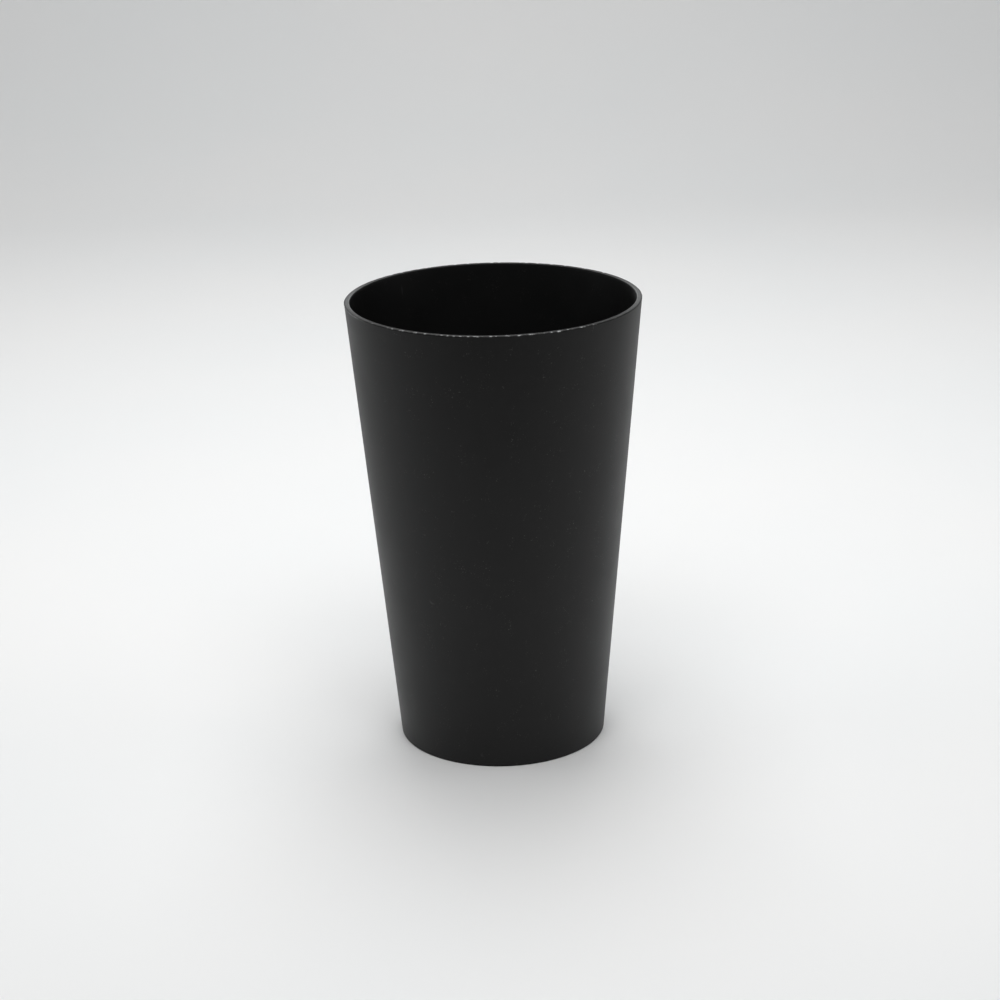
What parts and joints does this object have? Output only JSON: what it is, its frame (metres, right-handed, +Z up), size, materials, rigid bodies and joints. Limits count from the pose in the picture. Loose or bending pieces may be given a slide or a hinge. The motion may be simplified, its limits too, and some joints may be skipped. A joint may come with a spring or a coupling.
{
  "type": "reusable cup",
  "caption": "Tapered drinking cup in matte black plastic, open at the top, with a plain thin lip and a recessed ring foot.",
  "frame": {"origin": "on the cup's axis, in the plane that the foot ring stands on", "axes": "+Z up the cup's axis, from the foot to the lip; the cup is round, so +X and +Y are free"},
  "size_m": [0.0849, 0.0848, 0.1325],
  "materials": {
    "black_plastic": "fine matt, as moulded"
  },
  "bodies": {
    "root": {"cup": "black_plastic"}
  },
  "joints": []
}
